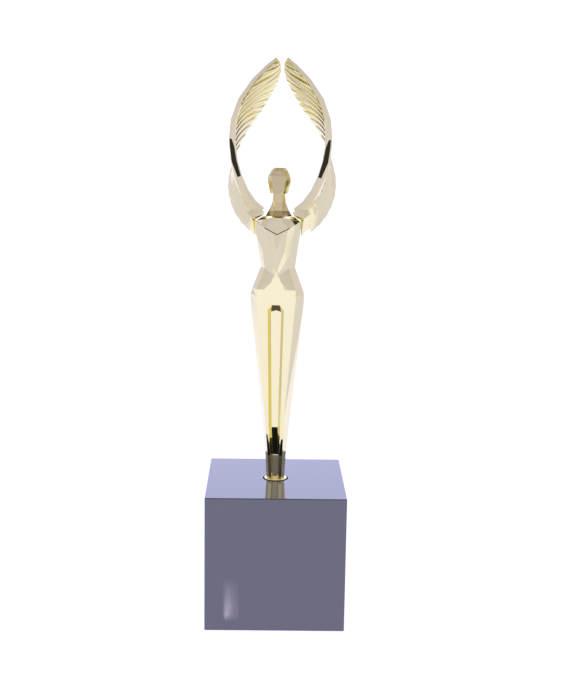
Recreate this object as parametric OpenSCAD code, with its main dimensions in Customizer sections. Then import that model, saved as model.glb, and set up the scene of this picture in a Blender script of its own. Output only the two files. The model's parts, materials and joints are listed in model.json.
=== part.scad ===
// Column trophy: a faceted winged figure, cast in three pieces, on a polished black block.
// Origin: centre of the underside. +Z up, the figure faces -Y. Millimetres.

/* [Plinth] */
// Side of the square block
plinth_w = 75; // [65:1:95]
// Height of the block without its pad
plinth_h = 74; // [55:1:95]
// Width of the small chamfer on the block's edges
plinth_edge = 0.4; // [0.2:0.1:1]
// Thickness of the felt pad
pad_t = 2; // [1.5:0.5:4]
// How far the pad stands below the block
pad_proud = 1; // [0.5:0.1:1.4]
// Margin between the pad and the block's sides
pad_margin = 5; // [3:0.5:9]

/* [Fixing] */
// Diameter of the threaded stud
stud_d = 4; // [3:0.5:5]
// How far the stud screws into the figure's foot
stud_in_foot = 12; // [8:0.5:15]
// Clearance of the stud in its passing holes
stud_clearance = 0.4; // [0.2:0.1:0.8]
// Diameter of the counterbore in the block's underside
well_d = 18; // [15:0.5:26]
// Depth of that counterbore above the pad
well_depth = 13; // [10:0.5:20]
// Radius of the foot collar
collar_r = 6.2; // [5.6:0.1:7.4]
// Thickness of the foot collar
collar_t = 3; // [2:0.1:5]
// How far the collar stands above the block
collar_proud = 0.4; // [0.2:0.1:1]
// Gap around the collar in its seat
collar_gap = 0.8; // [0.3:0.1:1.2]

/* [Figure] */
// Turn of the figure about its stud, as it was tightened
figure_turn = -6; // [-20:1:20]
// Height of the body casting, collar to neck
body_h = 145; // [125:0.5:170]
// Half width of the hips
hip_w = 14.4; // [12:0.1:17]
// Half width of the waist
waist_w = 9.2; // [8.4:0.1:11.5]
// Half width of the shoulders
shoulder_w = 11.9; // [10.5:0.1:14]
// Half width of the foot
foot_w = 4.9; // [4.6:0.1:6]
// Half width of the knee line
knee_w = 7.1; // [6.4:0.1:9]
// Depth of the groove between the legs
groove = 2.5; // [1:0.1:3]

/* [Head] */
// Height of the neck
neck_h = 11.8; // [8:0.2:14]
// Half width of the head
head_w = 6.1; // [5:0.1:8]
// Height of the head
head_h = 13.6; // [11.4:0.1:17]
// Diameter of the pin between neck and body
neck_pin_d = 4; // [3:0.5:5]
// Length of the pin on each side of the joint line
neck_pin_half = 6; // [4:0.5:7]

/* [Wings] */
// Height of the wing tips above the shoulders
wing_rise = 82; // [65:1:95]
// Half width across both wings
wing_span = 27.7; // [24:0.1:33]
// Half width between the two tips
tip_gap = 2.6; // [1:0.1:6]
// Breadth of the leading limb at the root
limb_root = 6.4; // [5:0.1:8]
// Breadth of the leading limb at the tip
limb_tip = 1.8; // [1.2:0.1:3]
// Thickness of the feather sheet
feather_t = 1.3; // [1:0.1:2]
// Seam between a wing root and the body
seam = 0.5; // [0.2:0.1:0.7]
// Diameter of the wing dowel
dowel_d = 3; // [2:0.5:3.5]
// Length of the wing dowel
dowel_len = 7; // [5:0.5:7.5]

/* [Hidden] */
$fn = 48;

// Heights of the joint faces
plinth_top = pad_proud + plinth_h;
foot_z = plinth_top + collar_proud;
collar_z = foot_z - collar_t;
well_top = pad_proud + well_depth;
washer_t = 0.8;
spring_t = 1;
nut_t = 3.2;
nut_flats = 7;
washer_d = 9;
spring_d = 7.6;
stud_low = well_top - washer_t - spring_t - nut_t - 1.5;

// Levels of the body, as heights above the collar
ankle_h = 0.097 * body_h;
knee_h = 0.213 * body_h;
crotch_h = body_h - 50.6;
groove_end_h = body_h - 46.6;
hip_h = body_h - 41.7;
waist_h = body_h - 27.4;
rib_h = body_h - 18;
breast_h = body_h - 10;
chest_h = body_h - 6.2;
collarbone_h = body_h - 0.6;
shoulder_h = body_h - 2.6;

// Half outline of a level, lifted to its height: each point is [x, y] or [x, y, own rise]
function lifted(h, outline) = [for (p = outline) [p.x, p.y, h + (len(p) > 2 ? p.z : 0)]];

// Half outlines of the body from the foot to the neck joint. Each runs from the front centre over
// the groove's floor and lip, the panel's edge, the side and the back panel to the back centre.
function body_levels() = [
    lifted(0, [[0, -2.7], [1.3, -2.7], [1.9, -3.5], [3.4, -3.2],
               [foot_w, -1.4], [foot_w, 2.2], [3, 4], [0, 4.1]]),
    lifted(ankle_h, [[0, groove - 6], [1.5, groove - 6], [2.3, -6], [4, -5.8],
                     [foot_w + 0.7, -1.9], [foot_w + 0.7, 2.6], [3.6, 4.7], [0, 4.8]]),
    lifted(knee_h, [[0, groove - 11], [1.7, groove - 11], [3.1, -10.8, -1.5], [5.3, -11, 7],
                    [knee_w + 0.9, -3.6, 7], [knee_w, 3.6], [4.8, 6.2], [0, 6.4]]),
    lifted(crotch_h, [[0, groove - 11.6, 0.8], [2.8, groove - 11.6], [4.3, -11.7, 1.3], [10, -11.5],
                      [hip_w - 0.5, -4.6], [hip_w - 0.5, 5], [9.3, 10.3], [0, 10.5]]),
    lifted(groove_end_h, [[0, -11.7], [1.5, -11.7], [2.1, -11.7], [10.4, -11.5],
                          [hip_w - 0.1, -4.6], [hip_w - 0.1, 5], [9.6, 10.8], [0, 11]]),
    lifted(hip_h, [[0, -11.7], [1.3, -11.7], [2.4, -11.7], [10.7, -11.4],
                   [hip_w, -4.4], [hip_w, 5], [9.6, 11.2], [0, 11.4]]),
    lifted(hip_h + 3.2, [[0, -11.7], [3, -11.7], [6.5, -11.5], [10.3, -11.2],
                         [hip_w - 0.9, -4.3], [hip_w - 0.9, 4.9], [9.1, 11], [0, 11.2]]),
    lifted(hip_h + 7.2, [[0, -11.7], [1.3, -11.7], [2.7, -11.6], [8.9, -10.2],
                         [hip_w - 2.5, -3.9], [hip_w - 2.5, 4.6], [8, 10], [0, 10.3]]),
    lifted(waist_h - 3.6, [[0, -11.7], [0.6, -11.7], [1.2, -11.6], [7.6, -9.3],
                           [waist_w + 1.4, -3.4], [waist_w + 1.4, 4.1], [6.9, 8.9], [0, 9.2]]),
    lifted(waist_h, [[0, -11.6], [0.8, -11.4], [2.6, -10.9], [6.5, -8.4],
                     [waist_w, -3], [waist_w, 3.6], [5.8, 8], [0, 8.3]]),
    lifted(rib_h, [[0, -10.9], [2.1, -10.1, 4], [4.3, -10.4], [7.7, -8.5],
                   [shoulder_w - 1.4, -3.8], [shoulder_w - 1.4, 4.2], [7, 8.5], [0, 8.8]]),
    lifted(breast_h, [[0, -9.7], [2.7, -9.6, 1.6], [5.6, -9.5, 3], [8.6, -8.1, 1],
                      [shoulder_w - 0.2, -5], [shoulder_w - 0.2, 4.8], [7.8, 9], [0, 9.2]]),
    lifted(chest_h, [[0, -9.2], [3.2, -9.2], [6.4, -9.3], [9.2, -7.9, 1.8],
                     [shoulder_w, -6, 3.6], [shoulder_w, 5.2, 3.4], [8, 9.2], [0, 9.4]]),
    lifted(collarbone_h, [[0, -8.4], [1.8, -8.4], [3.1, -8.3], [7.4, -7.5, -1.1],
                          [shoulder_w - 0.4, -5.2, -1.8], [shoulder_w - 0.4, 4.8, -1.8],
                          [7.4, 8, -1], [0, 8.4, -0.6]]),
    lifted(body_h, [[0, -6.4], [2, -6.4], [3.2, -6.2], [5.2, -5.2],
                    [7.3, -2.8], [7.3, 3.4], [5, 6.2], [0, 6.4]])];

// Half outlines of the neck, from its joint up: front centre, plate edge, side, back
function neck_levels() = [
    lifted(0, [[0, -6], [2.5, -6], [7, -1.8], [7, 2.8], [3.8, 5.4], [0, 5.6]]),
    lifted(0.23 * neck_h, [[0, -3.9], [2.1, -3.9], [5.3, -1.4], [5.3, 2.4], [3, 4.4], [0, 4.6]]),
    lifted(0.6 * neck_h, [[0, -3.5], [1.9, -3.5], [3.5, -1.2], [3.5, 2], [2.4, 3.8], [0, 4]]),
    lifted(neck_h + 0.6, [[0, -3.3], [1.7, -3.3], [3, -1], [3, 1.8], [2.2, 3.6], [0, 3.8]])];

// Half outlines of the head: chin, cheeks, brow, forehead, crown
function head_levels() = [
    lifted(neck_h, [[0, -6.2], [2.4, -6.1], [4.6, -2.8], [4.6, 3], [3, 5.4], [0, 5.6]]),
    lifted(neck_h + 0.48 * head_h,
           [[0, -5.6], [3.6, -5.4], [head_w, -2], [head_w, 3.6], [4, 6.6], [0, 6.8]]),
    lifted(neck_h + 0.67 * head_h,
           [[0, -5.3], [4.2, -5], [head_w - 0.3, -1.8], [head_w - 0.3, 3.5], [4, 6.6], [0, 6.8]]),
    lifted(neck_h + 0.88 * head_h,
           [[0, -4.8], [2.6, -4.4], [head_w - 1.7, -1.2], [head_w - 1.7, 2.6], [3, 5], [0, 5.2]]),
    lifted(neck_h + head_h, [[0, -2.6], [1.8, -2.4], [2.9, -0.4], [2.9, 1.8], [2, 3], [0, 3.2]])];

// A half outline completed with its mirror image
function whole(half) = concat(half, [for (i = [len(half) - 2:-1:1]) [-half[i].x, half[i].y, half[i].z]]);

function middle(ring) = [0, (min([for (p = ring) p.y]) + max([for (p = ring) p.y])) / 2, ring[0].z];

// Closed solid through level outlines that all have the same number of points
module level_loft(halves) {
    rings = [for (half = halves) whole(half)];
    n = len(rings[0]);
    top = len(rings) - 1;
    points = concat([for (ring = rings) each ring], [middle(rings[0]), middle(rings[top])]);
    low_centre = n * len(rings);
    sides = [for (i = [0:top - 1]) for (j = [0:n - 1])
        let (a = i * n + j, b = i * n + (j + 1) % n)
        each (j < n / 2 ? [[a, a + n, b + n], [a, b + n, b]] : [[a, a + n, b], [b, a + n, b + n]])];
    caps = [for (j = [0:n - 1]) let (k = (j + 1) % n)
        each [[low_centre, j, k], [low_centre + 1, top * n + k, top * n + j]]];
    polyhedron(points, concat(sides, caps));
}

// Puts a shape of the figure's own frame in its place on the collar
module on_collar() {
    translate([0, 0, foot_z]) rotate([0, 0, figure_turn]) children();
}

// Raised kite of the breast, above the waist's facets
module breast_plate() {
    low = [0, -10.6, breast_h + 0.4];
    side = [6.6, -10, chest_h];
    high = [2, -8.9, collarbone_h];
    crown = [0, -9, collarbone_h];
    front = [low, side, high, crown, [-high.x, high.y, high.z], [-side.x, side.y, side.z]];
    n = len(front);
    face = [for (i = [1:n - 2]) [0, i + 1, i]];
    rear = [for (i = [1:n - 2]) [n, n + i, n + i + 1]];
    rim = [for (i = [0:n - 1]) let (k = (i + 1) % n) each [[i, k, n + k], [i, n + k, n + i]]];
    polyhedron(concat(front, [for (p = front) p + [0, 4, 0]]), concat(face, rear, rim));
}

// ---- Wings -------------------------------------------------------------------------------

// Where the wing's path turns from climbing outward to climbing inward
wing_mid_h = body_h + 41.6;
wing_low = 43.5;
limb_inset = 2.3;
limb_span = wing_span - 0.5 * limb_mid();
wing_top_h = body_h + wing_rise;
// The limb starts above the shoulder's edge, so a wider shoulder starts it further round
limb_start = -round(acos((shoulder_w - limb_inset) / limb_span));
limb_steps = [limb_start, -56, -44, -32, -20, -8];
rise_steps = [0.15, 0.43, 0.68, 0.86, 1];
stations = len(limb_steps) + len(rise_steps);
function limb_mid() = (limb_root + limb_tip) / 2;

// Stations of the limb's centre line, [x, height, share of the way from root to tip]
function wing_path() = concat(
    [for (i = [0:len(limb_steps) - 1])
        [limb_span * cos(limb_steps[i]), wing_mid_h + wing_low * sin(limb_steps[i]),
         i / (stations - 1)]],
    [for (i = [0:len(rise_steps) - 1])
        let (s = rise_steps[i])
        [tip_gap + (limb_span - tip_gap) * (1 - pow(s, 2.2)),
         wing_mid_h + s * (wing_top_h - wing_mid_h),
         (i + len(limb_steps)) / (stations - 1)]]);

// Angle of the feathers to straight back: outward at the root, inward towards the tip
function feather_angle(s) = max(-58, min(58, 77 - 200 * s));

function feather_chord(s) = 14.5 * (1 - 0.12 * pow(1 - s, 2)) * (1 - pow(s, 5)) + 1.5;

// One cross-section of the wing: outward runs away from the body, square to the path
function wing_ring(path, i) =
    let (n = len(path), here = path[i], before = path[max(0, i - 1)], after = path[min(n - 1, i + 1)],
         along = [after.x - before.x, after.y - before.y], out = [along.y, -along.x] / norm(along),
         s = here.z, b = limb_root + (limb_tip - limb_root) * pow(s, 0.8),
         lean = 6 * pow(s, 2), angle = feather_angle(s), chord = feather_chord(s),
         back = [sin(angle), cos(angle)], face = [cos(angle), -sin(angle)],
         sheet = [for (u = [0.3, 0.65, 1])
             [back * chord * u + face * 2.2 * (1 - s / 2) * 4 * u * (1 - u),
              (feather_t + (0.55 * b - feather_t) * (1 - u)) / 2]],
         flat = concat(
             [[-b / 2, 0], [0, -b / 2], [b / 2, 0]],
             [for (p = sheet) p[0] + face * p[1]],
             [for (k = [2:-1:0]) sheet[k][0] - face * sheet[k][1]]))
    [for (p = flat) [here.x + out.x * p.x, p.y + lean, here.y + out.y * p.x]];

module wing_shell() {
    path = wing_path();
    rings = [for (i = [0:len(path) - 1]) wing_ring(path, i)];
    n = len(rings[0]);
    top = len(rings) - 1;
    sides = [for (i = [0:top - 1]) for (j = [0:n - 1])
        let (a = i * n + j, b = i * n + (j + 1) % n) each [[a, b + n, b], [a, a + n, b + n]]];
    cap = [[0, 1, 2], [0, 2, 3], [0, 3, 8], [8, 3, 4], [8, 4, 7], [7, 4, 5], [7, 5, 6]];
    caps = [for (t = cap) each [t, [top * n + t[2], top * n + t[1], top * n + t[0]]]];
    polyhedron([for (ring = rings) each ring], concat(sides, caps));
}

// Foot of a wing: a block against the shoulder's side, with a lip over the shoulder's top
module wing_root() {
    side = shoulder_w + seam;
    rotate([90, 0, 0]) translate([0, 0, -5.4]) linear_extrude(height = 10.4)
        polygon([[side, shoulder_h - 8], [side, shoulder_h + 0.4],
                 [side - 4.6, body_h + 0.4 + seam], [side - 4.8, body_h + 2.4],
                 [side, body_h + 3.6], [side + 4.6, body_h + 1.4], [side + 3.7, shoulder_h - 4]]);
}

// Hole or pin on the axis of a wing's dowel
module dowel(d, length) {
    translate([shoulder_w + seam / 2, 0, shoulder_h - 3.2]) rotate([0, 90, 0])
        cylinder(d = d, h = length, center = true);
}

module wing() {
    on_collar() difference() {
        union() {
            wing_shell();
            wing_root();
        }
        dowel(dowel_d, dowel_len + seam);
    }
}

// ---- Pieces ------------------------------------------------------------------------------

module plinth_block() {
    color("dimgray") difference() {
        translate([0, 0, pad_proud]) chamfered_block(plinth_w, plinth_h, plinth_edge);
        translate([0, 0, pad_proud - 1]) cylinder(d = stud_d + stud_clearance, h = plinth_h + 2);
        translate([0, 0, pad_proud - 1]) cylinder(d = well_d, h = well_depth + 1);
        translate([0, 0, collar_z]) cylinder(r = collar_r + collar_gap, h = collar_t + 1);
        pad_recess();
    }
}

// Upright block with a small chamfer on all of its edges
module chamfered_block(w, h, edge) {
    intersection() {
        linear_extrude(height = h) chamfered_square(w, w, edge);
        translate([0, w / 2, 0]) rotate([90, 0, 0]) linear_extrude(height = w)
            translate([0, h / 2]) chamfered_square(w, h, edge);
        translate([-w / 2, 0, 0]) rotate([90, 0, 90]) linear_extrude(height = w)
            translate([0, h / 2]) chamfered_square(w, h, edge);
    }
}

module chamfered_square(w, h, edge) {
    x = w / 2;
    y = h / 2;
    polygon([[x - edge, -y], [x, edge - y], [x, y - edge], [x - edge, y],
             [edge - x, y], [-x, y - edge], [-x, edge - y], [edge - x, -y]]);
}

module pad_recess() {
    w = plinth_w - 2 * pad_margin;
    translate([-w / 2, -w / 2, 0]) cube([w, w, pad_t]);
}

module base_pad() {
    color("black") pad_recess();
}

module foot_collar() {
    color("gold") translate([0, 0, collar_z]) difference() {
        cylinder(r = collar_r, h = collar_t);
        translate([0, 0, -1]) cylinder(d = stud_d + stud_clearance, h = collar_t + 2);
    }
}

module body_casting() {
    color("khaki") on_collar() difference() {
        union() {
            level_loft(body_levels());
            breast_plate();
        }
        translate([0, 0, -1]) cylinder(d = stud_d, h = stud_in_foot + 1);
        translate([0, 0, body_h - neck_pin_half]) cylinder(d = neck_pin_d, h = neck_pin_half + 1);
        dowel(dowel_d, dowel_len + seam);
        mirror([1, 0, 0]) dowel(dowel_d, dowel_len + seam);
    }
}

module head_and_neck() {
    color("khaki") on_collar() translate([0, 0, body_h]) difference() {
        union() {
            level_loft(neck_levels());
            level_loft(head_levels());
        }
        translate([0, 0, -1]) cylinder(d = neck_pin_d, h = neck_pin_half + 1);
    }
}

module wing_left() {
    color("palegoldenrod") rotate([0, 0, 2 * figure_turn]) mirror([1, 0, 0]) wing();
}

module wing_right() {
    color("palegoldenrod") wing();
}

module neck_pin() {
    color("silver") on_collar() translate([0, 0, body_h - neck_pin_half])
        cylinder(d = neck_pin_d, h = 2 * neck_pin_half);
}

module wing_dowels() {
    color("silver") on_collar() {
        dowel(dowel_d, dowel_len);
        mirror([1, 0, 0]) dowel(dowel_d, dowel_len);
    }
}

module fixing_stud() {
    color("silver") translate([0, 0, stud_low]) cylinder(d = stud_d, h = foot_z + stud_in_foot - stud_low);
}

module plain_washer() {
    color("silver") translate([0, 0, well_top - washer_t])
        ring(washer_d, stud_d + stud_clearance, washer_t);
}

module spring_washer() {
    slit = 0.8;
    color("gray") translate([0, 0, well_top - washer_t - spring_t]) difference() {
        ring(spring_d, stud_d + stud_clearance, spring_t);
        translate([0, -slit / 2, -1]) cube([spring_d, slit, spring_t + 2]);
    }
}

module hex_nut() {
    color("silver") translate([0, 0, well_top - washer_t - spring_t - nut_t]) difference() {
        cylinder(d = nut_flats / cos(30), h = nut_t, $fn = 6);
        translate([0, 0, -1]) cylinder(d = stud_d, h = nut_t + 2);
    }
}

module ring(outer, inner, t) {
    difference() {
        cylinder(d = outer, h = t);
        translate([0, 0, -1]) cylinder(d = inner, h = t + 2);
    }
}

plinth_block();
base_pad();
foot_collar();
body_casting();
head_and_neck();
wing_left();
wing_right();
neck_pin();
wing_dowels();
fixing_stud();
plain_washer();
spring_washer();
hex_nut();
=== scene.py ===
"""Column trophy: the looks. A faceted winged figure in bright gold plate on a polished black cube."""
import json
import math

import bmesh
import bpy
from mathutils import Matrix, Vector


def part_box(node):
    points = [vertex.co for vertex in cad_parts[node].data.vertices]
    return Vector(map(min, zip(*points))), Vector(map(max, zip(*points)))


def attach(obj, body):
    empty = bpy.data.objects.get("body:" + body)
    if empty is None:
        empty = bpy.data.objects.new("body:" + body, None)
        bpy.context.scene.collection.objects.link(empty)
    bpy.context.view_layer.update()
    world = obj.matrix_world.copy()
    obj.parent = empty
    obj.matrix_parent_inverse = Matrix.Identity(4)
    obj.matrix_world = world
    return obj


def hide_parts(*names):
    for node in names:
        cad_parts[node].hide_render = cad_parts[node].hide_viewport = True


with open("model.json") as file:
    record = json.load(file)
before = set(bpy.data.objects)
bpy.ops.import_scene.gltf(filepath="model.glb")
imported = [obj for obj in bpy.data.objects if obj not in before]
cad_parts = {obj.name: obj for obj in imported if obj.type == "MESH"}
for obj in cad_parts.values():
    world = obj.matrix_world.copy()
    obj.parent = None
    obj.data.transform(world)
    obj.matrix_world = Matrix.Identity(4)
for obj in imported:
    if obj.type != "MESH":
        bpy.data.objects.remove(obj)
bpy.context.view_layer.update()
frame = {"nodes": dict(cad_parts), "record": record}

# ---- Places, all from the frame -------------------------------------------------------------
plinth_low, plinth_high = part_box("plinth_block")
plinth_w = plinth_high.x - plinth_low.x


# ---- Materials ------------------------------------------------------------------------------
def new_material(name):
    material = bpy.data.materials.new(name)
    material.use_nodes = True
    nodes = material.node_tree.nodes
    return material, nodes, material.node_tree.links, nodes["Principled BSDF"]


def noise_node(nodes, links, scale, detail=2.0, stretch=(1, 1, 1)):
    """Noise over object coordinates, which are the row frame's own metres."""
    place = nodes.new("ShaderNodeTexCoord")
    mapping = nodes.new("ShaderNodeMapping")
    mapping.inputs["Scale"].default_value = stretch
    texture = nodes.new("ShaderNodeTexNoise")
    texture.inputs["Scale"].default_value = scale
    texture.inputs["Detail"].default_value = detail
    links.new(place.outputs["Object"], mapping.inputs["Vector"])
    links.new(mapping.outputs["Vector"], texture.inputs["Vector"])
    return texture


def map_range(nodes, links, source, low, high, to_low, to_high):
    node = nodes.new("ShaderNodeMapRange")
    node.inputs["From Min"].default_value = low
    node.inputs["From Max"].default_value = high
    node.inputs["To Min"].default_value = to_low
    node.inputs["To Max"].default_value = to_high
    links.new(source, node.inputs["Value"])
    return node.outputs["Result"]


def bump(nodes, links, height, strength, distance, onto):
    node = nodes.new("ShaderNodeBump")
    node.inputs["Strength"].default_value = strength
    node.inputs["Distance"].default_value = distance
    links.new(height, node.inputs["Height"])
    links.new(node.outputs["Normal"], onto)
    return node


def gold_plate(name="gold_plate", tilt=0.0, rough=0.03, tone=(0.87, 0.8, 0.42, 1)):
    """Bright pale gold plate: near mirror, with the faint waves that hand polishing leaves.
    A tilt turns a facet's shine upward, for a facet too narrow to be cut at its own angle."""
    material, nodes, links, shader = new_material(name)
    shader.inputs["Base Color"].default_value = tone
    shader.inputs["Metallic"].default_value = 1
    waves = noise_node(nodes, links, 180)
    links.new(map_range(nodes, links, waves.outputs["Fac"], 0.35, 0.65, rough, rough + 0.03),
              shader.inputs["Roughness"])
    ripple = noise_node(nodes, links, 60, 1.0)
    wave = bump(nodes, links, ripple.outputs["Fac"], 0.25, 0.0002, shader.inputs["Normal"])
    if tilt:
        facing = nodes.new("ShaderNodeNewGeometry")
        lift = nodes.new("ShaderNodeVectorMath")
        lift.inputs[1].default_value = (0, 0, tilt)
        links.new(facing.outputs["Normal"], lift.inputs[0])
        links.new(lift.outputs["Vector"], wave.inputs["Normal"])
    return material


def multiplied(nodes, links, factors):
    """The product of several numbers between 0 and 1."""
    product = factors[0]
    for factor in factors[1:]:
        both = nodes.new("ShaderNodeMath")
        both.operation = "MULTIPLY"
        links.new(product, both.inputs[0])
        links.new(factor, both.inputs[1])
        product = both.outputs["Value"]
    return product


def pale_front_patch(nodes, links):
    """A paler streaked patch low on the left of the front: 1 at its left edge, fading to the right."""
    place = nodes.new("ShaderNodeTexCoord")
    split = nodes.new("ShaderNodeSeparateXYZ")
    links.new(place.outputs["Object"], split.inputs["Vector"])
    across, depth, height = (split.outputs[axis] for axis in "XYZ")
    streaks = noise_node(nodes, links, 260, 3.0, (1.6, 1, 0.12))
    left, right, low, high, front = (plinth_w * share
                                     for share in (-0.372, -0.25, 0.085, 0.41, -0.49))
    left_edge, foot_edge, full_height, front_edge = 0.0016, 0.004, 0.008, 0.0005
    return multiplied(nodes, links, [
        map_range(nodes, links, across, left, left + left_edge, 0, 1),
        map_range(nodes, links, across, left + left_edge, right, 1, 0),
        map_range(nodes, links, height, low, low + foot_edge, 0, 1),
        map_range(nodes, links, height, low + full_height, high, 1, 0),
        map_range(nodes, links, depth, front, front + front_edge, 1, 0),
        map_range(nodes, links, streaks.outputs["Fac"], 0.3, 0.62, 0.25, 1)])


def plinth_black():
    """Black stone, polished to a mirror, with a paler streaked patch low on the left of its front."""
    material, nodes, links, shader = new_material("plinth_black")
    shader.inputs["IOR"].default_value = 2.2
    film = noise_node(nodes, links, 35, 4.0)
    links.new(map_range(nodes, links, film.outputs["Fac"], 0.4, 0.7, 0.02, 0.06),
              shader.inputs["Roughness"])
    # The black base colour turns paler in a streaked patch low on the left of the front.
    pale_patch = nodes.new("ShaderNodeMix")
    pale_patch.data_type = "RGBA"
    pale_patch.inputs[6].default_value = (0.006, 0.006, 0.007, 1)
    pale_patch.inputs[7].default_value = (0.42, 0.36, 0.36, 1)
    links.new(pale_front_patch(nodes, links), pale_patch.inputs["Factor"])
    links.new(pale_patch.outputs[2], shader.inputs["Base Color"])
    return material


def felt_black():
    material, nodes, links, shader = new_material("felt_black")
    fibre = noise_node(nodes, links, 2500, 3.0)
    links.new(map_range(nodes, links, fibre.outputs["Fac"], 0.3, 0.7, 0.85, 1.0),
              shader.inputs["Roughness"])
    shader.inputs["Base Color"].default_value = (0.02, 0.02, 0.02, 1)
    bump(nodes, links, fibre.outputs["Fac"], 0.6, 0.0003, shader.inputs["Normal"])
    return material


def zinc_steel():
    material, nodes, links, shader = new_material("zinc_steel")
    shader.inputs["Base Color"].default_value = (0.6, 0.6, 0.58, 1)
    shader.inputs["Metallic"].default_value = 1
    grain = noise_node(nodes, links, 900, 3.0)
    links.new(map_range(nodes, links, grain.outputs["Fac"], 0.3, 0.7, 0.25, 0.42),
              shader.inputs["Roughness"])
    return material


LOOKS = {"gold_plate": gold_plate(), "plinth_black": plinth_black(), "felt_black": felt_black(),
         "zinc_steel": zinc_steel()}
TILTED_GOLD = gold_plate("gold_plate_tilted", 0.5)
for part in frame["record"]["subparts"]:
    node = frame["nodes"][part["node"]]
    node.data.materials.clear()
    node.data.materials.append(LOOKS[part["material_slot"]])


# ---- The figure's own frame: millimetres above the collar, turned on its stud -------------------
MM = 0.001
body_low, body_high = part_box("body_casting")
BODY_H = (body_high.z - body_low.z) / MM
FIGURE_TURN = math.radians(-6)
TO_ROW = (Matrix.Translation((0, 0, body_low.z)) @ Matrix.Rotation(FIGURE_TURN, 4, "Z")
          @ Matrix.Scale(MM, 4))


def piece_from(name, mesh, slot):
    """A finished mesh as a piece of the object, riding with the one body."""
    piece = bpy.data.objects.new(name, mesh)
    bpy.context.scene.collection.objects.link(piece)
    mesh.materials.append(LOOKS[slot])
    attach(piece, "root")
    return piece


def mesh_from(work, name):
    """The mesh of a finished bmesh, which is freed."""
    mesh = bpy.data.meshes.new(name)
    work.to_mesh(mesh)
    work.free()
    return mesh


def bevelled(piece, width, angle, segments=2, harden=True):
    """Rounds every edge sharper than the angle, as casting and plating do."""
    bevel = piece.modifiers.new("rounded_edges", "BEVEL")
    bevel.width = width * MM
    bevel.segments = segments
    bevel.limit_method = "ANGLE"
    bevel.angle_limit = math.radians(angle)
    bevel.use_clamp_overlap = True
    if harden:
        weigh = piece.modifiers.new("weighted_normals", "WEIGHTED_NORMAL")
        weigh.keep_sharp = True
        weigh.weight = 50
    return piece


def faceted_copy(node, name, slot, edge, smooth_angle=3, bevel_angle=10, round_sides=False):
    """A node's own shape with its flat faces merged and its edges finely rounded."""
    work = bmesh.new()
    work.from_mesh(frame["nodes"][node].data)
    bmesh.ops.remove_doubles(work, verts=work.verts, dist=0.00001)
    bmesh.ops.dissolve_limit(work, angle_limit=math.radians(smooth_angle), verts=work.verts,
                             edges=work.edges)
    bmesh.ops.recalc_face_normals(work, faces=work.faces)
    for face in work.faces:
        face.smooth = round_sides
    mesh = mesh_from(work, name)
    if round_sides:
        mesh.set_sharp_from_angle(angle=math.radians(bevel_angle))
    piece = piece_from(name, mesh, slot)
    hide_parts(node)
    return bevelled(piece, edge, bevel_angle, harden=round_sides)


def skin(work, rows, closed=False):
    """Quads between rows of points that all have the same length."""
    grid = [[work.verts.new(point) for point in row] for row in rows]
    for low, high in zip(grid, grid[1:]):
        last = len(low) if closed else len(low) - 1
        for j in range(last):
            k = (j + 1) % len(low)
            work.faces.new((low[j], low[k], high[k], high[j]))
    if closed:
        work.faces.new(list(reversed(grid[0])))
        work.faces.new(grid[-1])
    return grid


def kite_shadow_lines():
    """A narrow face along each lower edge of the breast's kite, just proud of it. Its shine is tilted
    upward by its material, so that it shows as a dark line."""
    work = bmesh.new()
    low, side = Vector((0, -10.6, -9.6)), Vector((6.6, -10, -6.2))
    breadth, lean, proud, rise, depth = 0.5, 0.08, 0.05, 0.02, 0.4
    for mirror in (1, -1):
        rows = []
        for point in (side, low):
            x, y, z = mirror * point.x, point.y - proud, BODY_H + point.z + rise
            rows.append([Vector((x, y, z)), Vector((x, y + lean, z + breadth)),
                         Vector((x, y + depth, z + breadth)), Vector((x, y + depth, z))])
        skin(work, rows, closed=True)
    bmesh.ops.transform(work, matrix=TO_ROW, verts=work.verts)
    bmesh.ops.recalc_face_normals(work, faces=work.faces)
    mesh = mesh_from(work, "kite_shadow_lines")
    piece = piece_from("kite_shadow_lines", mesh, "gold_plate")
    mesh.materials[0] = TILTED_GOLD
    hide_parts("body_casting")


faceted_copy("body_casting", "body_casting_finish", "gold_plate", 0.12, 0.3, 14, True)
kite_shadow_lines()
head = faceted_copy("head_and_neck", "head_and_neck_finish", "gold_plate", 0.1)
# The head and neck get a rougher copy of the gold plate whose darker tone is painted shade; the plating is
# the same as the body's.
head.data.materials[0] = gold_plate("gold_plate_soft_painted_shade", rough=0.16, tone=(0.68, 0.585, 0.27, 1))
faceted_copy("foot_collar", "foot_collar_finish", "gold_plate", 0.15, 0.5, 35, True)
faceted_copy("plinth_block", "plinth_block_finish", "plinth_black", 0.12, 0.5, 35)

# ---- Wings ------------------------------------------------------------------------------------
# The limb's centre line goes out to LIMB_SPAN at the height WING_MID, from WING_LOW below it, and then
# up WING_RISE to the tip, where it stops TIP_GAP short of the middle
LIMB_SPAN, TIP_GAP = 25.65, 2.6
WING_MID, WING_LOW, WING_RISE = BODY_H + 41.6, 43.5, 40.3
LIMB_ROOT, LIMB_TIP = 6.4, 1.8
CHORD, TIP_CHORD, BULGE = 14.5, 2.6, 1.3
# Edges sharper than this, in degrees, stay crisp and get a fine rounding
WING_EDGE = 24


def limb_point(s):
    """Centre line of the leading limb, from the root at 0 to the tip at 1: (x, height)."""
    knee = 5 / 12
    if s <= knee:
        angle = math.radians(-68 + 144 * s)
        return Vector((LIMB_SPAN * math.cos(angle), WING_MID + WING_LOW * math.sin(angle)))
    rise = -0.15 + 1.15 * (1 - (1 - (s - knee) / (1 - knee)) ** 1.5)
    if rise < 0:
        sine = rise * WING_RISE / WING_LOW
        return Vector((LIMB_SPAN * math.sqrt(1 - sine * sine), WING_MID + rise * WING_RISE))
    return Vector((TIP_GAP + (LIMB_SPAN - TIP_GAP) * (1 - rise ** 2.2),
                   WING_MID + rise * WING_RISE))


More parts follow.
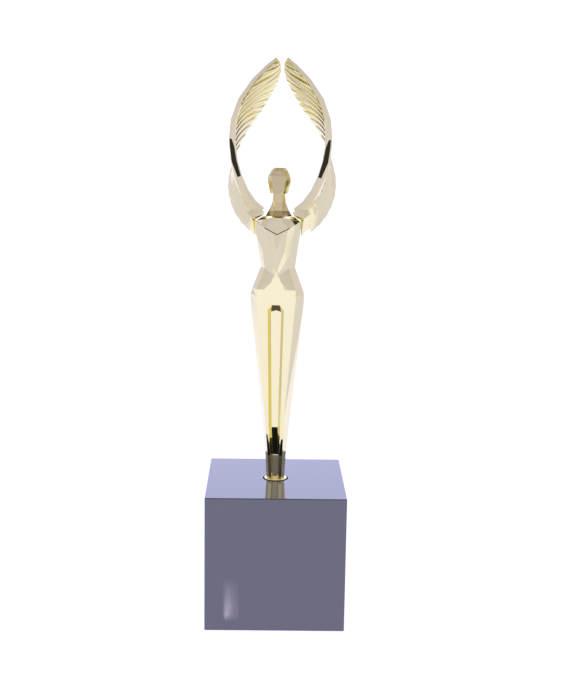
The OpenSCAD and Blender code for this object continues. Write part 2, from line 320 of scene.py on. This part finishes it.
def limb_frame(s):
    """The limb's centre, its outward direction, its breadth and how far it leans back."""
    here = limb_point(s)
    along = limb_point(min(1, s + 0.01)) - limb_point(max(0, s - 0.01))
    out = Vector((along.y, -along.x)).normalized()
    return here, out, LIMB_ROOT + (LIMB_TIP - LIMB_ROOT) * max(0, s) ** 0.8, 6 * s * s


def on_limb(s, across, depth):
    here, out, breadth, lean = limb_frame(s)
    return Vector((here.x + out.x * across, depth + lean, here.y + out.y * across))


def web(s, u, lift):
    """A point of the feather web: s along the limb, u out from it, lift towards its outer face."""
    angle = math.radians(60 * math.tanh((77 - 200 * s) / 50))
    chord = CHORD * (1 - 0.12 * (1 - s) ** 2) * (1 - s ** 6) + TIP_CHORD
    rise = BULGE * (1 - s / 2) * 4 * u * (1 - u) + lift
    return on_limb(s, math.sin(angle) * chord * u + math.cos(angle) * rise,
                   math.cos(angle) * chord * u - math.sin(angle) * rise)


def leading_limb(work):
    """The faceted limb, with the narrow facet that crosses its front beside the shoulders.
    Returns the faces of that facet."""
    # Share of the way from the root, then where the narrow facet starts and ends across the limb
    stations = [(0.0, 0.1, -0.2), (0.09, 0.1, -0.2), (0.18, 0.0, -0.25), (0.265, 0.0, -0.38),
                (0.35, 0.28, -0.36), (0.42, 0.3, -0.3), (0.455, 0.3, 0.02), (0.545, 0.1, -0.2),
                (0.65, 0.1, -0.2), (0.77, 0.1, -0.2), (0.88, 0.1, -0.2), (1.0, 0.1, -0.2)]
    rows = []
    for s, start, end in stations:
        breadth = limb_frame(s)[2]
        outer, inner = (-0.5, -0.36) if s < 0.3 else (-0.38, -0.48)
        proud = [outer + (inner - outer) * (0.31 - x) / 0.71 for x in (start, end)]
        shape = [(0.5, 0.05), (0.31, outer), (start, proud[0] - 0.01), (end, proud[1] - 0.015),
                 (-0.4, inner), (-0.5, -0.1), (-0.36, 0.34), (0.36, 0.34)]
        rows.append([on_limb(s, breadth * x, breadth * y) for x, y in shape])
    grid = skin(work, rows, closed=True)
    strip = []
    for i in (3, 4, 5):
        corners = {grid[i][2], grid[i][3], grid[i + 1][2], grid[i + 1][3]}
        strip += [face for face in grid[i][2].link_faces if set(face.verts) == corners]
    return strip


# Feathers, tip first: (share of the limb at the tip, share at the root, distance out at the root)
FEATHERS = [(1.0, 0.82, 0.0), (1.0, 0.73, 0.0), (0.995, 0.66, 0.01), (0.975, 0.59, 0.02),
            (0.93, 0.53, 0.02), (0.865, 0.48, 0.02), (0.795, 0.445, 0.02), (0.725, 0.415, 0.02),
            (0.66, 0.39, 0.03), (0.60, 0.36, 0.03), (0.545, 0.325, 0.04), (0.49, 0.28, 0.05),
            (0.44, 0.21, 0.06), (0.395, 0.12, 0.08), (0.35, 0.02, 0.12), (0.30, 0.0, 0.24),
            (0.25, 0.0, 0.37), (0.20, 0.0, 0.5), (0.15, 0.0, 0.62), (0.10, 0.0, 0.74),
            (0.05, 0.0, 0.86), (0.0, 0.0, 0.97)]


def feather_line(k, t):
    """A point of a feather's upper edge, as (s, u), from root to tip."""
    tip, root, start = FEATHERS[k]
    curve = (6, 3.4, 2.2)[k] if k < 3 else 1.35
    return root + (tip - root) * t, start + (1 - start) * t ** curve


def feather(work, k):
    """One blade: tucked under its lower neighbour, standing over its upper one."""
    lengths, across, half = 26, 7, 0.3
    faces = []
    for side in (1, -1):
        rows = []
        for i in range(lengths + 1):
            row = []
            for j in range(across):
                v = j / (across - 1)
                end = 1 - 0.025 * abs(v - 0.12) ** 1.4 / 0.88 ** 1.4
                t = end * i / lengths
                s0, u0 = feather_line(k, t)
                s1, u1 = feather_line(k + 1, t)
                tilt = 0.62 * (v - 0.5) - 0.1 * math.sin(math.pi * v)
                thin = half * (1 - 0.55 * (i / lengths) ** 6) * (1 - 0.5 * abs(2 * v - 1) ** 5)
                row.append(web(s0 + (s1 - s0) * v, u0 + (u1 - u0) * v, tilt + side * thin))
            rows.append(row)
        faces.append(skin(work, rows))
    top, low = faces
    ring = ([(0, j) for j in range(across)] + [(i, across - 1) for i in range(1, lengths + 1)]
            + [(lengths, j) for j in range(across - 2, -1, -1)]
            + [(i, 0) for i in range(lengths - 1, 0, -1)])
    for (i, j), (m, n) in zip(ring, ring[1:] + ring[:1]):
        work.faces.new((top[i][j], top[m][n], low[m][n], low[i][j]))


def web_sheet(work):
    """The thin web behind the feathers, which closes the steps between them."""
    lengths, across, half = 60, 9, 0.15
    rows = []
    for i in range(lengths + 1):
        s = i / lengths
        front = [web(s, 0.9 * j / (across - 1), -half) for j in range(across)]
        back = [web(s, 0.9 * j / (across - 1), half) for j in range(across)]
        rows.append(front + back[::-1])
    skin(work, rows, closed=True)


def covert_strip(work):
    """Short feathers over the foot of the long ones: a band with a scalloped edge along the limb."""
    scallops, steps, across = 8, 9, 5
    for side in (1, -1):
        rows = []
        for i in range(scallops * steps + 1):
            s = 0.03 + 0.34 * i / (scallops * steps)
            tooth = (i % steps) / steps
            reach = 0.34 * min(1, (0.37 - s) / 0.08, (s - 0.02) / 0.05)
            row = []
            for j in range(across):
                v = j / (across - 1)
                u = 0.16 - 0.09 * tooth * min(1, 1.6 - tooth) + reach * v
                row.append(web(s, u, 0.75 - 0.35 * v + 0.18 * math.sin(math.pi * tooth) * (1 - v)
                               - (0.35 if side < 0 else 0)))
            rows.append(row)
        skin(work, rows)


def wing_root_block(work):
    """The block that seats on the shoulder, cut into facets that meet at a point in front."""
    side = 12.4
    outline = [(side, BODY_H - 10.4), (side, BODY_H - 2.2), (side - 4.6, BODY_H + 0.9),
               (side - 4.8, BODY_H + 2.4), (side, BODY_H + 3.6), (side + 4.6, BODY_H + 1.4),
               (side + 3.6, BODY_H - 6.4)]
    rims = [[work.verts.new((x, depth, z)) for x, z in outline] for depth in (-4.2, 4.6)]
    for j in range(len(outline)):
        k = (j + 1) % len(outline)
        work.faces.new((rims[0][j], rims[0][k], rims[1][k], rims[1][j]))
    for rim, point in ((rims[0], (side + 1.2, -5.6, BODY_H - 1.2)),
                       (rims[1], (side + 1.2, 5.3, BODY_H - 1.2))):
        peak = work.verts.new(point)
        for j in range(len(outline)):
            work.faces.new((rim[j], rim[(j + 1) % len(outline)], peak))


def root_tongue(work):
    """The low tongue on the root that closes the seam behind the shoulder's edge."""
    outline = [(11.95, BODY_H - 10.1), (11.95, BODY_H - 2.35), (8.0, BODY_H - 0.3),
               (8.0, BODY_H + 1.4), (13.4, BODY_H + 1.4), (13.4, BODY_H - 10.1)]
    skin(work, [[Vector((x, depth, z)) for x, z in outline] for depth in (-2.5, 3.5)], closed=True)


def wing(node, name, mirror):
    """A whole wing as one casting: limb, feathers, coverts and root block."""
    work = bmesh.new()
    for face in leading_limb(work):
        face.material_index = 1
    wing_root_block(work)
    root_tongue(work)
    web_sheet(work)
    for k in range(len(FEATHERS) - 1):
        feather(work, k)
    covert_strip(work)
    if mirror:
        bmesh.ops.scale(work, vec=(-1, 1, 1), verts=work.verts)
    bmesh.ops.transform(work, matrix=TO_ROW, verts=work.verts)
    bmesh.ops.recalc_face_normals(work, faces=work.faces)
    for face in work.faces:
        face.smooth = True
    mesh = mesh_from(work, name)
    mesh.set_sharp_from_angle(angle=math.radians(WING_EDGE))
    piece = piece_from(name, mesh, "gold_plate")
    mesh.materials.append(TILTED_GOLD)
    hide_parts(node)
    return bevelled(piece, 0.08, WING_EDGE)


wing("wing_right", "wing_right_finish", False)
wing("wing_left", "wing_left_finish", True)


# ---- Stage: a pale table, a bright sweep behind, a dark ceiling in front -----------------------
def plain_mesh(name, points, faces):
    mesh = bpy.data.meshes.new(name)
    mesh.from_pydata(points, [], faces)
    mesh.update()
    piece = bpy.data.objects.new(name, mesh)
    bpy.context.scene.collection.objects.link(piece)
    return piece


def table():
    reach = 6
    floor = plain_mesh("studio_table", [(-reach, -reach, 0), (reach, -reach, 0), (reach, reach, 0),
                                        (-reach, reach, 0)], [(0, 1, 2, 3)])
    material, nodes, links, shader = new_material("table_white")
    shader.inputs["Base Color"].default_value = (0.06, 0.06, 0.06, 1)
    shader.inputs["Roughness"].default_value = 0.9
    place = nodes.new("ShaderNodeTexCoord")
    split = nodes.new("ShaderNodeSeparateXYZ")
    links.new(place.outputs["Object"], split.inputs["Vector"])
    aside, ahead, ratio = (nodes.new("ShaderNodeMath") for _ in range(3))
    aside.operation, ahead.operation, ratio.operation = "ABSOLUTE", "ABSOLUTE", "DIVIDE"
    links.new(split.outputs["X"], aside.inputs[0])
    links.new(split.outputs["Y"], ahead.inputs[0])
    reach_out = nodes.new("ShaderNodeMath")
    reach_out.inputs[1].default_value = 0.25
    links.new(ahead.outputs["Value"], reach_out.inputs[0])
    links.new(aside.outputs["Value"], ratio.inputs[0])
    links.new(reach_out.outputs["Value"], ratio.inputs[1])
    fade = nodes.new("ShaderNodeMix")
    fade.data_type = "RGBA"
    fade.inputs[6].default_value = (1.0, 1.0, 1.42, 1)
    fade.inputs[7].default_value = (0.74, 0.74, 1.1, 1)
    links.new(map_range(nodes, links, ratio.outputs["Value"], 0.65, 0.9, 0, 1),
              fade.inputs["Factor"])
    links.new(fade.outputs[2], shader.inputs["Emission Color"])
    shader.inputs["Emission Strength"].default_value = 1
    floor.data.materials.append(material)


def studio_world():
    """Light by direction: bright and bluish behind and beside, half bright in front, dark high in front."""
    world = bpy.data.worlds.new("studio")
    bpy.context.scene.world = world
    world.use_nodes = True
    nodes, links = world.node_tree.nodes, world.node_tree.links
    shade = nodes["Background"]
    place = nodes.new("ShaderNodeTexCoord")
    split = nodes.new("ShaderNodeSeparateXYZ")
    links.new(place.outputs["Generated"], split.inputs["Vector"])
    front = nodes.new("ShaderNodeValToRGB")
    front.color_ramp.elements[0].position = 0.5
    front.color_ramp.elements[0].color = (0.85, 0.83, 1.25, 1)
    front.color_ramp.elements[1].position = 0.68
    front.color_ramp.elements[1].color = (0.7, 0.67, 0.97, 1)
    for spot, colour in ((0.78, (0.64, 0.6, 0.86, 1)), (0.82, (0.04, 0.04, 0.05, 1)),
                         (0.955, (0.03, 0.03, 0.04, 1)), (0.975, (0.75, 0.65, 0.62, 1))):
        step = front.color_ramp.elements.new(spot)
        step.color = colour
    links.new(map_range(nodes, links, split.outputs["Z"], -1, 1, 0, 1), front.inputs["Fac"])
    around = nodes.new("ShaderNodeValToRGB")
    around.color_ramp.elements[0].position = 0.3
    around.color_ramp.elements[0].color = (0.9, 0.88, 1.3, 1)
    around.color_ramp.elements[1].position = 0.5
    around.color_ramp.elements[1].color = (0.85, 0.84, 1.3, 1)
    step = around.color_ramp.elements.new(0.65)
    step.color = (0.8, 0.75, 1.05, 1)
    links.new(map_range(nodes, links, split.outputs["Y"], -1, 1, 0, 1), around.inputs["Fac"])
    mix = nodes.new("ShaderNodeMix")
    mix.data_type = "RGBA"
    high = nodes.new("ShaderNodeMath")
    high.operation = "MULTIPLY_ADD"
    high.inputs[1].default_value = -0.7
    links.new(split.outputs["Z"], high.inputs[0])
    links.new(split.outputs["Y"], high.inputs[2])
    links.new(map_range(nodes, links, high.outputs["Value"], -0.65, -0.4, 0, 1),
              mix.inputs["Factor"])
    links.new(front.outputs["Color"], mix.inputs[6])
    links.new(around.outputs["Color"], mix.inputs[7])
    # The lit sweep stands straight behind and is no wider than the plinth's mirror needs
    aside = nodes.new("ShaderNodeMath")
    aside.operation = "ABSOLUTE"
    links.new(split.outputs["X"], aside.inputs[0])
    within = nodes.new("ShaderNodeMath")
    within.operation = "MULTIPLY"
    links.new(map_range(nodes, links, aside.outputs["Value"], 0.245, 0.3, 1, 0), within.inputs[0])
    links.new(map_range(nodes, links, split.outputs["Y"], 0.6, 0.72, 0, 1), within.inputs[1])
    sweep = nodes.new("ShaderNodeMix")
    sweep.data_type = "RGBA"
    links.new(within.outputs["Value"], sweep.inputs["Factor"])
    links.new(mix.outputs[2], sweep.inputs[6])
    sweep.inputs[7].default_value = (1.5, 1.55, 2.25, 1)
    links.new(sweep.outputs[2], shade.inputs["Color"])


table()
studio_world()


# ---- Camera ---------------------------------------------------------------------------------
def camera():
    """Eye level with the wings, looking down a little, almost square to the plinth's front."""
    lens = bpy.data.cameras.new("camera")
    lens.sensor_width = 36
    lens.lens = 60.87
    eye = bpy.data.objects.new("camera", lens)
    bpy.context.scene.collection.objects.link(eye)
    yaw, pitch, roll = math.radians(0.79), math.radians(10.65), math.radians(0.82)
    eye.matrix_world = (Matrix.Translation(Vector((-0.088, -8.323, 3.567)) * plinth_w)
                        @ Matrix.Rotation(-yaw, 4, "Z")
                        @ Matrix.Rotation(math.pi / 2 - pitch, 4, "X")
                        @ Matrix.Rotation(roll, 4, "Z"))
    bpy.context.scene.camera = eye


camera()
bpy.context.scene.view_settings.view_transform = "Standard"
